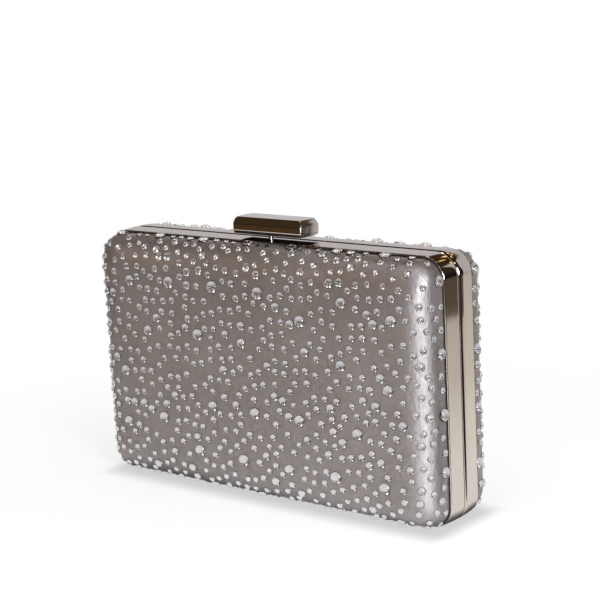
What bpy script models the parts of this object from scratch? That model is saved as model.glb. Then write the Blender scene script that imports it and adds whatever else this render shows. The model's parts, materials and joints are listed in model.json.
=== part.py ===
# Hard box clutch bag: two covered half shells in polished metal frames, hinged along the
# bottom and closed by a push clasp on top. Metres, +Z up, X along the width, front at -Y.
# The origin is on the floor, in the middle of the parting plane between the two halves.

import math

import bmesh
import bpy
from mathutils import Matrix, Vector

mm = 0.001

# Outline shared by both halves, seen from the front
case_width = 180.0 * mm
case_height = 110.4 * mm
corner_radius = 9.9 * mm

# Metal frame of each half: a band round the outside and a flange along the parting plane
band_depth = 9.6 * mm
band_wall = 1.0 * mm
flange_thickness = 2.4 * mm
parting_gap = 0.3 * mm
front_rim_width = 7.4 * mm
rear_rim_width = 6.0 * mm
front_parting_round = 1.2 * mm
rear_parting_round = 1.6 * mm

# Lip on the front frame that reaches inside the rear one along the top and the sides
lip_wall = 0.8 * mm
lip_clearance = 0.4 * mm
lip_reach = 1.5 * mm
lip_root = 0.9 * mm
lip_foot_height = 25.0 * mm

# Padded half shell: cover, padding, moulded shell and lining, from the outside in
groove_width = 0.5 * mm
face_rise = 14.0 * mm
edge_round = 12.0 * mm
crown_rise = 1.2 * mm
cover_thickness = 0.5 * mm
padding_thickness = 1.0 * mm
shell_wall = 1.4 * mm
lining_thickness = 0.5 * mm
layer_gap = 0.3 * mm
skirt_gap = 0.3 * mm

# Hinge: knuckle tubes in a slot along the bottom, on one long pin
pin_radius = 0.75 * mm
bore_gap = 0.3 * mm
knuckle_wall = 0.45 * mm
knuckle_gap = 0.3 * mm
knuckle_seat_gap = 0.3 * mm
knuckle_floor_gap = 0.1 * mm
knuckle_count = 7

# Clasp bar with bevelled sides, above the top of the frames
bar_half_width = 18.4 * mm
bar_half_depth = 6.2 * mm
bar_setback = 1.5 * mm
bar_gap = 1.9 * mm
bar_under_height = 1.85 * mm
bar_under_inset = 0.3 * mm
bar_side_height = 2.2 * mm
bar_bevel_height = 2.95 * mm
bar_bevel_inset = 1.3 * mm
bar_end_bevel_inset = 2.0 * mm
bar_corner_radius = 0.8 * mm
bar_hole_depth = 4.0 * mm

# Stem and slider below the bar, pushed up by a coil spring
stem_radius = 0.95 * mm
stem_setback = 4.7 * mm
press_travel = 1.1 * mm
running_gap = 0.3 * mm
slider_half_width = 6.5 * mm
slider_thickness = 1.4 * mm
slider_bridge = 0.9 * mm
slider_crossbar = 2.1 * mm
spring_length = 4.9 * mm
spring_radius = 1.25 * mm
spring_wire_radius = 0.25 * mm
spring_turns = 5
spring_points_per_turn = 10

# Housing that guides the slider behind the front flange, with a screw in each of its sides
housing_side = 4.2 * mm
housing_wall = 0.8 * mm
housing_groove_depth = 2.2 * mm

# Hook on the rear frame that the slider's crossbar holds
hook_half_width = 3.0 * mm
hook_side_gap = 0.5 * mm
blade_thickness = 1.2 * mm
barb_depth = 1.0 * mm
barb_length = 1.7 * mm
barb_nose = 0.6 * mm
hook_rise_gap = 0.5 * mm
hook_plate_half_width = 9.0 * mm
hook_plate_thickness = 1.0 * mm
hook_plate_height = 3.8 * mm
hook_plate_recess = 0.2 * mm

# Screws and rivets of the clasp
fastener_head_radius = 1.2 * mm
fastener_head_height = 0.5 * mm
fastener_head_recess = 0.2 * mm
fastener_shank_radius = 0.8 * mm
screw_length = 4.6 * mm

# Facets of round shapes, and what every cut runs past the surface it opens
corner_segments = 6
edge_segments = 5
parting_segments = 3
round_segments = 20
cut_overrun = 1.0 * mm
weld_distance = 0.01 * mm

# How far the crown's rings lie towards the middle of the face, as shares of the way
crown_ring_shares = (0.2, 0.45, 0.75)

# Values that follow from the sizes above
half_width = case_width / 2
half_height = case_height / 2
face_gap = parting_gap / 2
flange_back = face_gap + flange_thickness
skirt_start = flange_back + skirt_gap
knuckle_radius = pin_radius + bore_gap + knuckle_wall
hinge_height = knuckle_radius + knuckle_floor_gap
slot_half_depth = knuckle_radius + knuckle_seat_gap
slot_height = hinge_height + slot_half_depth
wall_underside = case_height - band_wall
cover_offset = band_wall + groove_width
padding_inset = cover_thickness + layer_gap
shell_inset = padding_inset + padding_thickness + layer_gap
lining_inset = shell_inset + shell_wall + layer_gap

bar_bottom = case_height + bar_gap
slider_top = wall_underside - running_gap
slider_window_top = slider_top - slider_bridge
blade_top = slider_window_top - press_travel - running_gap
blade_bottom = blade_top - blade_thickness
barb_bottom = blade_bottom - barb_depth
crossbar_top = blade_bottom - running_gap
slider_bottom = crossbar_top - slider_crossbar
spring_top = slider_bottom - running_gap
spring_bottom = spring_top - spring_length
housing_floor = spring_bottom - running_gap
slider_back = stem_setback - slider_thickness / 2
slider_front = stem_setback + slider_thickness / 2
barb_back = slider_front + running_gap
hook_tip = barb_back + barb_length
housing_front = hook_tip + running_gap + housing_wall
housing_inner = slider_half_width + running_gap
housing_half_width = housing_inner + housing_side
screw_spread = (housing_inner + housing_half_width) / 2
rivet_spread = (hook_half_width + hook_plate_half_width) / 2
fastener_height = (blade_top + blade_bottom) / 2


def new_collection(name):
    collection = bpy.data.collections.new(name)
    bpy.context.scene.collection.children.link(collection)
    return collection


def move_to(obj, collection):
    for old in list(obj.users_collection):
        old.objects.unlink(obj)
    collection.objects.link(obj)


def new_material(name, colour, roughness, metallic):
    material = bpy.data.materials.new(name)
    material.use_nodes = True
    shader = material.node_tree.nodes["Principled BSDF"]
    shader.inputs["Base Color"].default_value = (*colour, 1.0)
    shader.inputs["Roughness"].default_value = roughness
    shader.inputs["Metallic"].default_value = metallic
    return material


def mesh_object(name, bm):
    mesh = bpy.data.meshes.new(name)
    bm.to_mesh(mesh)
    bm.free()
    obj = bpy.data.objects.new(name, mesh)
    parts.objects.link(obj)
    return obj


def box(name, low, high):
    # A cube primitive stretched between two corners, its scale applied
    bm = bmesh.new()
    bmesh.ops.create_cube(bm, size=1.0)
    size = Vector(high) - Vector(low)
    centre = (Vector(high) + Vector(low)) / 2
    bmesh.ops.transform(bm, matrix=Matrix.Diagonal(size).to_4x4(), verts=bm.verts)
    obj = mesh_object(name, bm)
    obj.location = centre
    return obj


def cylinder(name, radius, length, centre, axis):
    bm = bmesh.new()
    bmesh.ops.create_cone(
        bm, cap_ends=True, segments=round_segments, radius1=radius, radius2=radius, depth=length
    )
    obj = mesh_object(name, bm)
    obj.location = centre
    obj.rotation_mode = "QUATERNION"
    obj.rotation_quaternion = Vector(axis).to_track_quat("Z", "Y")
    return obj


def turned(name, profile, centre, axis):
    # A profile of (radius, height) points, listed down the outer side, spun round its axis
    bm = bmesh.new()
    verts = [bm.verts.new((radius, 0, height)) for radius, height in profile]
    for first, second in zip(verts, verts[1:]):
        bm.edges.new((first, second))
    if profile[0][0] > 0:
        bm.edges.new((verts[-1], verts[0]))
    obj = mesh_object(name, bm)
    screw = obj.modifiers.new("spin", "SCREW")
    screw.steps = round_segments
    screw.render_steps = round_segments
    screw.use_merge_vertices = True
    screw.merge_threshold = weld_distance
    obj.location = centre
    obj.rotation_mode = "QUATERNION"
    obj.rotation_quaternion = Vector(axis).to_track_quat("Z", "Y")
    return obj


def rounded_outline(offset, radius):
    # The case's outline taken in by an offset: (x, z) points, anticlockwise from the right
    right = half_width - offset - radius
    top = half_height - offset - radius
    points = []
    for corner, (side, level) in enumerate(((1, 1), (-1, 1), (-1, -1), (1, -1))):
        for step in range(corner_segments + 1):
            angle = math.pi / 2 * (corner + step / corner_segments)
            x = side * right + radius * math.cos(angle)
            z = half_height + level * top + radius * math.sin(angle)
            points.append((x, z))
    return points


def outline_block(name, offset, near, far):
    # The case's outline as a solid between two depths, made from a filled curve
    curve = bpy.data.curves.new(name, "CURVE")
    curve.dimensions = "2D"
    curve.fill_mode = "BOTH"
    curve.extrude = abs(far - near) / 2
    spline = curve.splines.new("POLY")
    points = rounded_outline(offset, corner_radius - offset)
    spline.points.add(len(points) - 1)
    for point, (x, z) in zip(spline.points, points):
        point.co = (x, z, 0, 1)
    spline.use_cyclic_u = True
    drawn = bpy.data.objects.new(name + "_curve", curve)
    parts.objects.link(drawn)
    drawn.location = (0, (near + far) / 2, 0)
    drawn.rotation_euler = (math.pi / 2, 0, 0)
    return as_mesh(name, drawn)


def as_mesh(name, drawn):
    # A curve's evaluated shape as a mesh with its caps welded on
    bpy.context.view_layer.update()
    evaluated = drawn.evaluated_get(bpy.context.evaluated_depsgraph_get())
    mesh = bpy.data.meshes.new_from_object(evaluated)
    bm = bmesh.new()
    bm.from_mesh(mesh)
    bmesh.ops.remove_doubles(bm, verts=bm.verts, dist=weld_distance)
    bm.to_mesh(mesh)
    bm.free()
    obj = bpy.data.objects.new(name, mesh)
    parts.objects.link(obj)
    obj.matrix_world = drawn.matrix_world
    bpy.data.objects.remove(drawn)
    return obj


def loft(bm, rings):
    # A skin through rings of points, each with as many points as the one before
    loops = []
    for ring in rings:
        verts = [bm.verts.new(point) for point in ring]
        loops.append([bm.edges.new((verts[i - 1], verts[i])) for i in range(len(verts))])
    for first, second in zip(loops, loops[1:]):
        bmesh.ops.bridge_loops(bm, edges=first + second)
    return loops


def combine(obj, other, operation):
    modifier = obj.modifiers.new(operation.lower() + "_" + other.name, "BOOLEAN")
    modifier.operation = operation
    modifier.solver = "EXACT"
    modifier.object = other
    move_to(other, cutters)
    other.hide_render = True
    other.display_type = "WIRE"


def cut(obj, cutter):
    combine(obj, cutter, "DIFFERENCE")


def join(obj, other):
    combine(obj, other, "UNION")


def cut_box(obj, name, low, high):
    cut(obj, box(name, low, high))


def finish(obj, parent, material, sharp_angle=math.radians(30)):
    # Hang the piece on its half of the bag, without moving it
    obj.parent = parent
    obj.location = obj.location - parent.location
    obj.data.materials.clear()
    obj.data.materials.append(material)
    if obj.type == "MESH":
        obj.data.shade_smooth()
        obj.data.set_sharp_from_angle(angle=sharp_angle)


def roll_edge(obj, depth, radius):
    # Round the outer edge of a block at one depth, once round the outline
    bm = bmesh.new()
    bm.from_mesh(obj.data)
    bm.transform(obj.matrix_world)
    cap = [
        face for face in bm.faces
        if all(abs(vert.co.y - depth) < weld_distance for vert in face.verts)
    ]
    rim = bmesh.ops.dissolve_faces(bm, faces=cap)["region"][0].edges
    bmesh.ops.bevel(
        bm, geom=list(rim), offset=radius, segments=parting_segments, profile=0.5, affect="EDGES"
    )
    bm.transform(obj.matrix_world.inverted())
    bm.to_mesh(obj.data)
    bm.free()


def half_frame(name, side, rim_width, parting_round):
    # The band and its flange, hollowed from a solid block of the case's outline
    frame = outline_block(name, 0, side * face_gap, side * band_depth)
    roll_edge(frame, side * face_gap, parting_round)
    pocket = outline_block(
        name + "_pocket", band_wall, side * flange_back, side * (band_depth + cut_overrun)
    )
    opening = outline_block(
        name + "_opening", rim_width, -side * cut_overrun, side * (band_depth + cut_overrun)
    )
    cut(frame, pocket)
    cut(frame, opening)
    cut(frame, hinge_slot(name + "_slot"))
    return frame


def hinge_slot(name):
    # Past the knuckles, the slot ends where the rounded corner has risen to the hinge axis
    straight = half_width - corner_radius
    drop = corner_radius - hinge_height
    reach = straight + math.sqrt(corner_radius ** 2 - drop ** 2)
    return box(
        name, (-reach, -slot_half_depth, -cut_overrun), (reach, slot_half_depth, slot_height)
    )


def alignment_lip(name):
    # A thin ring inside both frames, without its lower part, which would catch as they open
    outside = rear_rim_width + lip_clearance
    ring = outline_block(name, outside, -face_gap - lip_root, lip_reach)
    hole = outline_block(
        name + "_hole", outside + lip_wall, -flange_back, lip_reach + cut_overrun
    )
    cut(ring, hole)
    cut_box(
        ring,
        name + "_foot",
        (-half_width, -flange_back, -cut_overrun),
        (half_width, lip_reach + cut_overrun, lip_foot_height),
    )
    return ring


def front_frame_cuts(frame):
    window_half_width = hook_half_width + hook_side_gap
    cut_box(
        frame,
        "hook_window",
        (-window_half_width, -flange_back - skirt_gap, barb_bottom - running_gap),
        (window_half_width, lip_reach, blade_top + hook_rise_gap),
    )
    cut(
        frame,
        cylinder(
            "stem_hole",
            stem_radius + running_gap,
            band_wall + 2 * running_gap,
            (0, -stem_setback, case_height - band_wall / 2),
            (0, 0, 1),
        ),
    )
    for place, side in (("left", -1), ("right", 1)):
        centre = (side * screw_spread, -face_gap, fastener_height)
        cut(frame, fastener_cut("screw_hole_" + place, screw_length, centre, (0, 1, 0)))


def rear_frame_cuts(frame):
    # A shallow seat for the hook's plate, open towards the inside of the bag
    plate_side = hook_plate_half_width + layer_gap
    plate_top = hook_plate_top + layer_gap
    cut_box(
        frame,
        "plate_seat",
        (-plate_side, -cut_overrun, wall_underside - rear_rim_width - cut_overrun),
        (plate_side, hook_plate_back + layer_gap, plate_top),
    )
    for place, side in (("left", -1), ("right", 1)):
        centre = (side * rivet_spread, (face_gap + flange_back) / 2, fastener_height)
        hole_length = flange_thickness + 2 * cut_overrun
        hole_radius = fastener_shank_radius + running_gap
        cut(frame, cylinder("rivet_hole_" + place, hole_radius, hole_length, centre, (0, 1, 0)))


def skin_rings(side, inset):
    # Sections of a padded half at an inset below the cover's outside: a straight skirt, a
    # rounded edge and a face that rises a little towards the middle
    face_depth = band_depth + face_rise
    offset = cover_offset + inset
    radius = corner_radius - offset
    round_size = edge_round - inset
    flat_start = face_depth - edge_round
    middle_way = half_height - offset - round_size - radius
    rings = [ring_at(side, offset, radius, skirt_start)]
    for step in range(edge_segments + 1):
        angle = math.pi / 2 * step / edge_segments
        taken_in = round_size * (1 - math.cos(angle))
        depth = flat_start + round_size * math.sin(angle)
        rings.append(ring_at(side, offset + taken_in, radius, depth))
    for share in crown_ring_shares:
        taken_in = round_size + middle_way * share
        depth = face_depth - inset + crown_rise * (1 - (1 - share) ** 2)
        rings.append(ring_at(side, offset + taken_in, radius, depth))
    return rings


def ring_at(side, offset, radius, depth):
    return [(x, side * depth, z) for x, z in rounded_outline(offset, radius)]


def half_skin(name, side, inset, thickness):
    bm = bmesh.new()
    loops = loft(bm, skin_rings(side, inset))
    last = {vert for edge in loops[-1] for vert in edge.verts}
    face = bmesh.ops.contextual_create(bm, geom=list(last) + loops[-1])["faces"][0]
    bmesh.ops.recalc_face_normals(bm, faces=bm.faces)
    if face.normal.y * side < 0:
        bmesh.ops.reverse_faces(bm, faces=bm.faces)
    obj = mesh_object(name, bm)
    solid = obj.modifiers.new("thickness", "SOLIDIFY")
    solid.thickness = thickness
    solid.offset = -1
    solid.use_even_offset = True
    return obj


def housing_notch(obj, name):
    # Room in a skirt for the clasp's housing, hidden behind the band
    side = housing_half_width + layer_gap
    cut_box(
        obj,
        name,
        (-side, -housing_front - layer_gap, housing_floor - housing_wall - layer_gap),
        (side, -flange_back, case_height),
    )


def hinge_knuckle(name, index):
    # The knuckles fill the straight part of the bottom edge, with a gap between each two
    run = 2 * (half_width - corner_radius)
    length = (run - knuckle_gap * (knuckle_count - 1)) / knuckle_count
    start = -run / 2 + index * (length + knuckle_gap)
    half = length / 2
    bore = pin_radius + bore_gap
    profile = [(knuckle_radius, half), (knuckle_radius, -half), (bore, -half), (bore, half)]
    return turned(name, profile, (start + half, 0, hinge_height), (1, 0, 0))


def fastener_profile(length):
    head = fastener_head_radius
    shank = fastener_shank_radius
    neck = -fastener_head_height
    return [(0, 0), (head, 0), (head, neck), (shank, neck), (shank, -length), (0, -length)]


def fastener(name, length, centre, axis):
    # The head is set below the face it sits in
    sunk = Vector(centre) - Vector(axis) * fastener_head_recess
    return turned(name, fastener_profile(length), sunk, axis)


def fastener_cut(name, length, centre, axis):
    # The fastener's own shape, wider by the running gap, open at the face
    head = fastener_head_radius + running_gap
    shank = fastener_shank_radius + running_gap
    neck = -fastener_head_recess - fastener_head_height - running_gap
    end = -fastener_head_recess - length - running_gap
    profile = [(0, cut_overrun), (head, cut_overrun), (head, neck), (shank, neck)]
    profile += [(shank, end), (0, end)]
    return turned(name, profile, centre, axis)


def clasp_housing(name):
    housing = box(
        name,
        (-housing_half_width, -housing_front, housing_floor - housing_wall),
        (housing_half_width, -skirt_start, slider_top),
    )
    middle = housing_inner - housing_groove_depth
    over = slider_top + cut_overrun
    cut_box(
        housing,
        name + "_middle",
        (-middle, -housing_front + housing_wall, housing_floor),
        (middle, -skirt_start + cut_overrun, over),
    )
    cut_box(
        housing,
        name + "_groove",
        (-housing_inner, -slider_front - running_gap, housing_floor),
        (housing_inner, -slider_back + running_gap, over),
    )
    for place, side in (("left", -1), ("right", 1)):
        centre = (side * screw_spread, -face_gap, fastener_height)
        hole = fastener_cut(name + "_hole_" + place, screw_length, centre, (0, 1, 0))
        cut(housing, hole)
    return housing


def latch_slider(name):
    # A plate with a window for the hook, and the round stem that carries the bar
    slider = box(
        name,
        (-slider_half_width, -slider_front, slider_bottom),
        (slider_half_width, -slider_back, slider_top),
    )
    window = hook_half_width + hook_side_gap
    cut_box(
        slider,
        name + "_window",
        (-window, -slider_front - cut_overrun, crossbar_top),
        (window, -slider_back + cut_overrun, slider_window_top),
    )
    stem_foot = slider_window_top + slider_bridge / 3
    stem_top = bar_bottom + bar_hole_depth - running_gap
    stem = cylinder(
        name + "_stem",
        stem_radius,
        stem_top - stem_foot,
        (0, -stem_setback, (stem_top + stem_foot) / 2),
        (0, 0, 1),
    )
    join(slider, stem)
    return slider


def bar_ring(inset, end_inset, height):
    side = bar_half_width - end_inset - bar_corner_radius
    depth = bar_half_depth - inset - bar_corner_radius
    ring = []
    for corner, (right, back) in enumerate(((1, 1), (-1, 1), (-1, -1), (1, -1))):
        for step in range(3):
            angle = math.pi / 2 * (corner + step / 2)
            x = right * side + bar_corner_radius * math.cos(angle)
            y = back * depth + bar_corner_radius * math.sin(angle)
            ring.append((x, y - bar_setback, height))
    return ring


def clasp_bar(name):
    side_bottom = bar_bottom + bar_under_height
    side_top = side_bottom + bar_side_height
    rings = [
        bar_ring(bar_under_inset, bar_under_inset, bar_bottom),
        bar_ring(0, 0, side_bottom),
        bar_ring(0, 0, side_top),
        bar_ring(bar_bevel_inset, bar_end_bevel_inset, side_top + bar_bevel_height),
    ]
    bm = bmesh.new()
    loops = loft(bm, rings)
    for loop in (loops[0], loops[-1]):
        verts = {vert for edge in loop for vert in edge.verts}
        bmesh.ops.contextual_create(bm, geom=list(verts) + loop)
    bmesh.ops.recalc_face_normals(bm, faces=bm.faces)
    bar = mesh_object(name, bm)
    cut(
        bar,
        cylinder(
            name + "_hole",
            stem_radius + running_gap,
            2 * bar_hole_depth,
            (0, -stem_setback, bar_bottom),
            (0, 0, 1),
        ),
    )
    return bar


def catch_hook(name):
    # A blade with a barb below its tip, and the plate that it stands on
    outline = [
        (hook_plate_front + hook_plate_thickness / 2, blade_top),
        (-hook_tip, blade_top),
        (-hook_tip, blade_bottom),
        (-hook_tip + barb_nose, barb_bottom),
        (-barb_back, barb_bottom),
        (-barb_back, blade_bottom),
        (hook_plate_front + hook_plate_thickness / 2, blade_bottom),
    ]
    bm = bmesh.new()
    face = bm.faces.new([bm.verts.new((-hook_half_width, y, z)) for y, z in outline])
    pushed = bmesh.ops.extrude_face_region(bm, geom=[face])["geom"]
    moved = [item for item in pushed if isinstance(item, bmesh.types.BMVert)]
    bmesh.ops.translate(bm, verts=moved, vec=(2 * hook_half_width, 0, 0))
    bmesh.ops.recalc_face_normals(bm, faces=bm.faces)
    blade = mesh_object(name + "_blade", bm)
    plate = box(
        name,
        (-hook_plate_half_width, hook_plate_front, hook_plate_top - hook_plate_height),
        (hook_plate_half_width, hook_plate_back, hook_plate_top),
    )
    join(plate, blade)
    for place, side in (("left", -1), ("right", 1)):
        centre = (side * rivet_spread, hook_plate_front, fastener_height)
        cut(plate, fastener_cut(name + "_hole_" + place, rivet_length, centre, (0, -1, 0)))
    return plate


def return_spring(name):
    # A coil that runs up from the housing's floor to the slider, round the stem's axis
    curve = bpy.data.curves.new(name, "CURVE")
    curve.dimensions = "3D"
    curve.bevel_depth = spring_wire_radius
    curve.bevel_resolution = 1
    curve.use_fill_caps = True
    count = spring_turns * spring_points_per_turn
    spline = curve.splines.new("POLY")
    spline.points.add(count)
    climb = spring_length - 2 * spring_wire_radius
    for step, point in enumerate(spline.points):
        angle = 2 * math.pi * step / spring_points_per_turn
        x = spring_radius * math.cos(angle)
        y = spring_radius * math.sin(angle)
        point.co = (x, y, climb * step / count, 1)
    drawn = bpy.data.objects.new(name + "_curve", curve)
    parts.objects.link(drawn)
    drawn.location = (0, -stem_setback, spring_bottom + spring_wire_radius)
    return as_mesh(name, drawn)


for old in list(bpy.data.objects):
    bpy.data.objects.remove(old)

parts = new_collection("clutch_bag")
cutters = new_collection("cutters")

hook_plate_front = face_gap + hook_plate_recess
hook_plate_back = hook_plate_front + hook_plate_thickness
hook_plate_top = fastener_height + hook_plate_height / 2
rivet_length = flange_back - hook_plate_front - 2 * fastener_head_recess

front_half = bpy.data.objects.new("front_half", None)
rear_half = bpy.data.objects.new("rear_half", None)
clasp = bpy.data.objects.new("clasp", None)
rear_half.location = (0, 0, hinge_height)
clasp.location = (0, -stem_setback, case_height)
for empty in (front_half, rear_half, clasp):
    parts.objects.link(empty)

nickel = (0.74, 0.71, 0.66)
satin = (0.38, 0.36, 0.34)
for half, side, rim_width, parting_round, word in (
    (front_half, -1, front_rim_width, front_parting_round, "front"),
    (rear_half, 1, rear_rim_width, rear_parting_round, "rear"),
):
    frame = half_frame(word + "_frame", side, rim_width, parting_round)
    cover = half_skin(word + "_cover", side, 0, cover_thickness)
    padding = half_skin(word + "_padding", side, padding_inset, padding_thickness)
    shell = half_skin(word + "_shell", side, shell_inset, shell_wall)
    lining = half_skin(word + "_lining", side, lining_inset, lining_thickness)
    if half is front_half:
        join(frame, alignment_lip("alignment_lip"))
        front_frame_cuts(frame)
        for skin in (cover, padding, shell, lining):
            housing_notch(skin, skin.name + "_notch")
    else:
        rear_frame_cuts(frame)
    finish(frame, half, new_material(word + "_frame_nickel", nickel, 0.12, 1.0))
    finish(cover, half, new_material(word + "_cover_satin", satin, 0.45, 0.0))
    finish(padding, half, new_material(word + "_padding_foam", (0.85, 0.84, 0.80), 0.9, 0.0))
    finish(shell, half, new_material(word + "_shell_plastic", (0.10, 0.10, 0.11), 0.5, 0.0))
    finish(lining, half, new_material(word + "_lining_satin", (0.16, 0.15, 0.15), 0.5, 0.0))

for index in range(knuckle_count):
    half, word = (rear_half, "rear") if index % 2 else (front_half, "front")
    name = "hinge_knuckle_" + word + "_" + str(index // 2 + 1)
    knuckle = hinge_knuckle(name, index)
    finish(knuckle, half, new_material(name + "_nickel", nickel, 0.25, 1.0))

pin_length = 2 * (half_width - corner_radius)
hinge_pin = cylinder("hinge_pin", pin_radius, pin_length, (0, 0, hinge_height), (1, 0, 0))
finish(hinge_pin, front_half, new_material("hinge_pin_steel", (0.56, 0.57, 0.58), 0.3, 1.0))

housing = clasp_housing("clasp_housing")
finish(housing, front_half, new_material("clasp_housing_zinc", (0.60, 0.59, 0.57), 0.4, 1.0))
spring = return_spring("return_spring")
finish(spring, front_half, new_material("return_spring_steel", (0.55, 0.56, 0.58), 0.3, 1.0))
slider = latch_slider("latch_slider")
finish(slider, clasp, new_material("latch_slider_steel", (0.60, 0.60, 0.60), 0.35, 1.0))
bar = clasp_bar("clasp_bar")
finish(bar, clasp, new_material("clasp_bar_nickel", nickel, 0.1, 1.0))
hook = catch_hook("catch_hook")
finish(hook, rear_half, new_material("catch_hook_steel", (0.58, 0.58, 0.58), 0.35, 1.0))

for place, side in (("left", -1), ("right", 1)):
    seat = (side * screw_spread, -face_gap, fastener_height)
    screw = fastener("housing_screw_" + place, screw_length, seat, (0, 1, 0))
    finish(screw, front_half, new_material(screw.name + "_steel", (0.5, 0.5, 0.5), 0.3, 1.0))
    seat = (side * rivet_spread, hook_plate_front, fastener_height)
    rivet = fastener("catch_rivet_" + place, rivet_length, seat, (0, -1, 0))
    finish(rivet, rear_half, new_material(rivet.name + "_steel", (0.5, 0.5, 0.5), 0.3, 1.0))
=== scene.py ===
import json
import math
from functools import partial

import bmesh
import bpy
from mathutils import Matrix, Vector, interpolate, noise
from mathutils.bvhtree import BVHTree

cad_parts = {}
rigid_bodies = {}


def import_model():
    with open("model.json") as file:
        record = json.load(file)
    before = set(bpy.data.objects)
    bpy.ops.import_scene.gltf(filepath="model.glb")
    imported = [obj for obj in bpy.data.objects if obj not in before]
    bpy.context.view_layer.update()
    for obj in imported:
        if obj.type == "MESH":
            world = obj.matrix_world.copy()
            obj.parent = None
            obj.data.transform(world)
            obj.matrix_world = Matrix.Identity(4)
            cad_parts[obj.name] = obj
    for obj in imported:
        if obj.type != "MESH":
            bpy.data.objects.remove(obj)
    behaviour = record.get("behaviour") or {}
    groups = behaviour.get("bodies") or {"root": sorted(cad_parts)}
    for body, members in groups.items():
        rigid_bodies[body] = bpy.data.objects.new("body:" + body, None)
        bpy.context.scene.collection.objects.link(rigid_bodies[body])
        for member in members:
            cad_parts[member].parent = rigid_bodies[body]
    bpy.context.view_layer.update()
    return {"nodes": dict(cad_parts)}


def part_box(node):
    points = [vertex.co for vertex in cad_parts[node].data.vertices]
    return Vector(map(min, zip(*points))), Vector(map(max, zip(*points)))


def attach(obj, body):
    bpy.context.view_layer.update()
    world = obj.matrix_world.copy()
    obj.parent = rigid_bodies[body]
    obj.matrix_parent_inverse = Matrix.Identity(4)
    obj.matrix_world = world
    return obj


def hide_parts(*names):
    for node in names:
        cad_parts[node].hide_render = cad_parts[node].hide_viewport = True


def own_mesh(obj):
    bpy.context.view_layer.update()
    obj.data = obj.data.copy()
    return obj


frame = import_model()
mm = 0.001

# Clutch bag with crystals, front towards -Y. Everything below is in metres.


# shared by the camera, the lamps and every piece

def newObject(name, data):
    piece = bpy.data.objects.new(name, data)
    bpy.context.scene.collection.objects.link(piece)
    return piece


def directionFrom(azimuth, elevation):
    # towards the camera or a lamp: 0 degrees is the front, and 90 the right
    around, above = math.radians(azimuth), math.radians(elevation)
    return Vector((
        math.sin(around) * math.cos(above),
        -math.cos(around) * math.cos(above),
        math.sin(above),
    ))


def arcPoints(centre, radius, start, steps):
    # a quarter turn, from the start angle on
    angles = [math.radians(start + 90 * step / steps) for step in range(steps + 1)]
    return [
        (centre[0] + radius * math.cos(angle), centre[1] + radius * math.sin(angle))
        for angle in angles
    ]


# camera, from the outlines of the two frames in the photograph

cameraView = {
    "azimuth": 39.3,
    "elevation": 11.7,
    "roll": -2.9,
    "distance": 682.4 * mm,
    "aim": (10.0 * mm, 0.0, 84.4 * mm),
    "focalPixels": 1629.9,
    "imagePixels": 600,
    "sensorWidth": 36.0,
    "clipStart": 0.01,
}


def makeCamera():
    back = directionFrom(cameraView["azimuth"], cameraView["elevation"])
    roll = math.radians(cameraView["roll"])
    right = (-back).cross(Vector((0, 0, 1))).normalized()
    up = back.cross(right)
    turnedRight = right * math.cos(roll) + up * math.sin(roll)
    turnedUp = up * math.cos(roll) - right * math.sin(roll)
    data = bpy.data.cameras.new("camera")
    data.sensor_width = cameraView["sensorWidth"]
    data.lens = cameraView["focalPixels"] / cameraView["imagePixels"] * data.sensor_width
    data.clip_start = cameraView["clipStart"]
    camera = newObject("camera", data)
    axes = Matrix((turnedRight, turnedUp, back)).transposed().to_4x4()
    place = Vector(cameraView["aim"]) + back * cameraView["distance"]
    camera.matrix_world = Matrix.Translation(place) @ axes
    bpy.context.scene.camera = camera


makeCamera()
print("camera placed")


# mesh tools

def meshFrom(name, bm, closed=True):
    # the faces of a closed mesh are turned outwards
    if closed:
        bmesh.ops.recalc_face_normals(bm, faces=bm.faces)
    mesh = bpy.data.meshes.new(name)
    bm.to_mesh(mesh)
    bm.free()
    return newObject(name, mesh)


def applyModifiers(piece):
    # the evaluated mesh takes the place of the piece's own, and no modifier is left
    depsgraph = bpy.context.evaluated_depsgraph_get()
    evaluated = piece.evaluated_get(depsgraph)
    mesh = bpy.data.meshes.new_from_object(evaluated, depsgraph=depsgraph)
    piece.modifiers.clear()
    old = piece.data
    piece.data = mesh
    bpy.data.meshes.remove(old)
    mesh.name = piece.name


def discard(piece):
    mesh = piece.data
    bpy.data.objects.remove(piece)
    bpy.data.meshes.remove(mesh)


def cutAway(piece, cutters):
    for cutter in cutters:
        step = piece.modifiers.new("cut", "BOOLEAN")
        step.operation = "DIFFERENCE"
        step.solver = "EXACT"
        step.object = cutter
    applyModifiers(piece)
    for cutter in cutters:
        discard(cutter)


def boxCutter(low, high):
    bm = bmesh.new()
    bmesh.ops.create_cube(bm, size=1.0)
    size = Vector(high) - Vector(low)
    bmesh.ops.transform(bm, matrix=Matrix.Diagonal(size).to_4x4(), verts=bm.verts)
    bmesh.ops.translate(bm, vec=(Vector(high) + Vector(low)) / 2, verts=bm.verts)
    return meshFrom("cutter", bm)


def roundCutter(radius, length, centre, axis, segments=32):
    bm = bmesh.new()
    bmesh.ops.create_cone(
        bm, cap_ends=True, segments=segments, radius1=radius, radius2=radius, depth=length
    )
    turn = Vector(axis).to_track_quat("Z", "Y").to_matrix().to_4x4()
    bmesh.ops.transform(bm, matrix=Matrix.Translation(centre) @ turn, verts=bm.verts)
    return meshFrom("cutter", bm)


def smoothShading(piece, sharpAngle, weighted=True):
    # flat faces keep their own normals, so that polished metal mirrors without waves
    piece.data.shade_smooth()
    piece.data.set_sharp_from_angle(angle=math.radians(sharpAngle))
    if weighted:
        step = piece.modifiers.new("normals", "WEIGHTED_NORMAL")
        step.mode = "FACE_AREA"
        step.keep_sharp = True
        applyModifiers(piece)


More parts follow.
